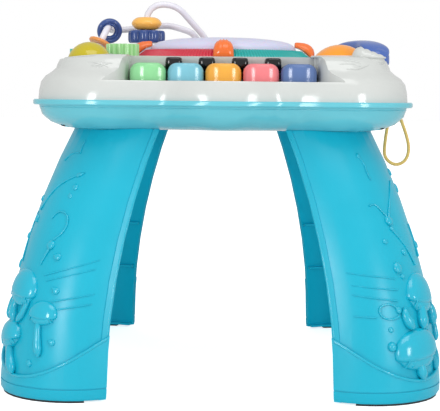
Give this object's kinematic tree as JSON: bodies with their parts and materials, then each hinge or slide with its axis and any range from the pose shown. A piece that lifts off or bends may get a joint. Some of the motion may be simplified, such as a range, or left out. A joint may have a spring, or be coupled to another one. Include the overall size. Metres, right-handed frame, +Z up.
{
  "type": "musical activity table",
  "caption": "Children's musical activity table with lobed tray on four curved legs, keyboard, drum pad, bead bars, gears, dome buttons and toy handset.",
  "frame": {"origin": "on the floor under the middle of the table, in the plane of the foot pads' undersides", "axes": "+X to the right seen from the keyboard side, -Y towards the keyboard side, +Z up"},
  "size_m": [0.4134, 0.4134, 0.3774],
  "materials": {
    "white_shell": "glossy",
    "turquoise_tray": "glossy",
    "blue_legs": "glossy",
    "foot_rubber": "matte",
    "steel": "satin",
    "light_green": "glossy",
    "light_blue": "glossy",
    "amber": "glossy",
    "coral": "glossy",
    "navy": "glossy",
    "black": "glossy",
    "board_green": "satin",
    "silicone": "matte",
    "drum_red": "glossy",
    "drum_teal": "glossy",
    "drum_skin": "satin",
    "orange": "glossy",
    "lime": "glossy",
    "orange_dome": "glossy",
    "gear_green": "glossy",
    "gear_teal": "glossy",
    "pink": "glossy",
    "pearl_bar": "glossy",
    "bead_orange": "glossy",
    "bead_blue": "glossy",
    "bead_brown": "glossy",
    "handset_blue": "glossy",
    "cord_yellow": "satin",
    "dark_plastic": "matte",
    "cell": "satin"
  },
  "bodies": {
    "table": {"top_shell": "white_shell", "bottom_shell": "turquoise_tray", "leg_front_left": "blue_legs", "leg_front_right": "blue_legs", "leg_rear_left": "blue_legs", "leg_rear_right": "blue_legs", "foot_pads": "foot_rubber", "shell_screws": "steel", "key_dome_green": "silicone", "key_dome_blue": "silicone", "key_dome_yellow": "silicone", "key_dome_coral": "silicone", "key_dome_navy": "silicone", "black_keys": "black", "key_shaft": "steel", "key_board": "board_green", "main_board": "board_green", "drum_ring_red": "drum_red", "drum_ring_teal": "drum_teal", "drum_clamps": "orange", "drum_dome": "silicone", "yellow_button_dome": "silicone", "orange_button_dome": "silicone", "gear_axles": "white_shell", "gear_disc": "pink", "arch_bar": "pearl_bar", "low_bar": "pearl_bar", "bar_sockets": "pearl_bar", "cord_loop": "cord_yellow", "cord_grommets": "cord_yellow", "battery_door": "turquoise_tray", "battery_door_screw": "steel", "batteries": "cell", "battery_contacts": "steel", "speaker": "dark_plastic"},
    "drum_head": {"drum_pad": "drum_skin"},
    "yellow_button": {"yellow_button": "lime"},
    "orange_button": {"orange_button": "orange_dome"},
    "green_gear": {"green_gear": "gear_green"},
    "idler_gear": {"idler_gear": "amber"},
    "teal_gear": {"teal_gear": "gear_teal"},
    "orange_bead": {"orange_bead": "bead_orange"},
    "flower_bead": {"flower_bead": "bead_blue"},
    "ring_bead": {"ring_bead": "bead_blue"},
    "thin_bead": {"thin_bead": "bead_brown"},
    "handset": {"handset": "handset_blue", "handset_cord_tail": "cord_yellow"},
    "power_switch": {"power_switch_knob": "white_shell"},
    "key_green": {"key_green": "light_green"},
    "key_blue": {"key_blue": "light_blue"},
    "key_yellow": {"key_yellow": "amber"},
    "key_coral": {"key_coral": "coral"},
    "key_navy": {"key_navy": "navy"}
  },
  "joints": [
    {"name": "green_key_hinge", "type": "hinge", "parent": "table", "child": "key_green", "pos_m": [-0.0692, -0.092, 0.2914], "axis": [1, 0, 0], "range_deg": [0, 3], "stiffness_Nm_per_rad": 0.35, "springref_deg": -2.29, "deforming": ["key_dome_green"]},
    {"name": "blue_key_hinge", "type": "hinge", "parent": "table", "child": "key_blue", "pos_m": [-0.0346, -0.092, 0.2914], "axis": [1, 0, 0], "range_deg": [0, 3], "stiffness_Nm_per_rad": 0.35, "springref_deg": -2.29, "deforming": ["key_dome_blue"]},
    {"name": "yellow_key_hinge", "type": "hinge", "parent": "table", "child": "key_yellow", "pos_m": [0, -0.092, 0.2914], "axis": [1, 0, 0], "range_deg": [0, 3], "stiffness_Nm_per_rad": 0.35, "springref_deg": -2.29, "deforming": ["key_dome_yellow"]},
    {"name": "coral_key_hinge", "type": "hinge", "parent": "table", "child": "key_coral", "pos_m": [0.0346, -0.092, 0.2914], "axis": [1, 0, 0], "range_deg": [0, 3], "stiffness_Nm_per_rad": 0.35, "springref_deg": -2.29, "deforming": ["key_dome_coral"]},
    {"name": "navy_key_hinge", "type": "hinge", "parent": "table", "child": "key_navy", "pos_m": [0.0692, -0.092, 0.2914], "axis": [1, 0, 0], "range_deg": [0, 3], "stiffness_Nm_per_rad": 0.35, "springref_deg": -2.29, "deforming": ["key_dome_navy"]},
    {"name": "drum_press", "type": "slide", "parent": "table", "child": "drum_head", "axis": [0, 0, -1], "range_m": [0, 0.0025], "stiffness_N_per_m": 900, "springref_m": -0.0015, "deforming": ["drum_dome"]},
    {"name": "yellow_button_press", "type": "slide", "parent": "table", "child": "yellow_button", "axis": [0.0872, 0, -0.9962], "range_m": [0, 0.004], "stiffness_N_per_m": 500, "springref_m": -0.001, "deforming": ["yellow_button_dome"]},
    {"name": "orange_button_press", "type": "slide", "parent": "table", "child": "orange_button", "axis": [0, 0, -1], "range_m": [0, 0.004], "stiffness_N_per_m": 500, "springref_m": -0.001, "deforming": ["orange_button_dome"]},
    {"name": "green_gear_spin", "type": "hinge", "parent": "table", "child": "green_gear", "pos_m": [-0.1, -0.046, 0.318], "axis": [0, 0, 1], "continuous": true},
    {"name": "idler_gear_spin", "type": "hinge", "parent": "table", "child": "idler_gear", "pos_m": [-0.1265, -0.0307, 0.318], "axis": [0, 0, 1], "continuous": true},
    {"name": "teal_gear_spin", "type": "hinge", "parent": "table", "child": "teal_gear", "pos_m": [-0.14087, -0.00368, 0.318], "axis": [0, 0, 1], "continuous": true},
    {"name": "orange_bead_spin", "type": "hinge", "parent": "table", "child": "orange_bead", "pos_m": [-0.084, 0.09, 0.353], "axis": [0, 0, 1], "continuous": true},
    {"name": "flower_bead_spin", "type": "hinge", "parent": "table", "child": "flower_bead", "pos_m": [-0.084, 0.09, 0.3385], "axis": [0, 0, 1], "continuous": true},
    {"name": "ring_bead_slide", "type": "slide", "parent": "table", "child": "ring_bead", "axis": [0, 1, 0], "range_m": [-0.01, 0.025]},
    {"name": "thin_bead_slide", "type": "slide", "parent": "table", "child": "thin_bead", "axis": [0.3605, 0.2403, 0.9013], "range_m": [0, 0.003]},
    {"name": "handset_lift", "type": "slide", "parent": "table", "child": "handset", "axis": [0, 0, 1], "range_m": [0, 0.03]},
    {"name": "power_switch_slide", "type": "slide", "parent": "table", "child": "power_switch", "axis": [1, 0, 0], "range_m": [0, 0.005]}
  ],
  "couplings": [
    {"joint": "idler_gear_spin", "follows": "green_gear_spin", "ratio": -1},
    {"joint": "teal_gear_spin", "follows": "green_gear_spin", "ratio": 1}
  ]
}
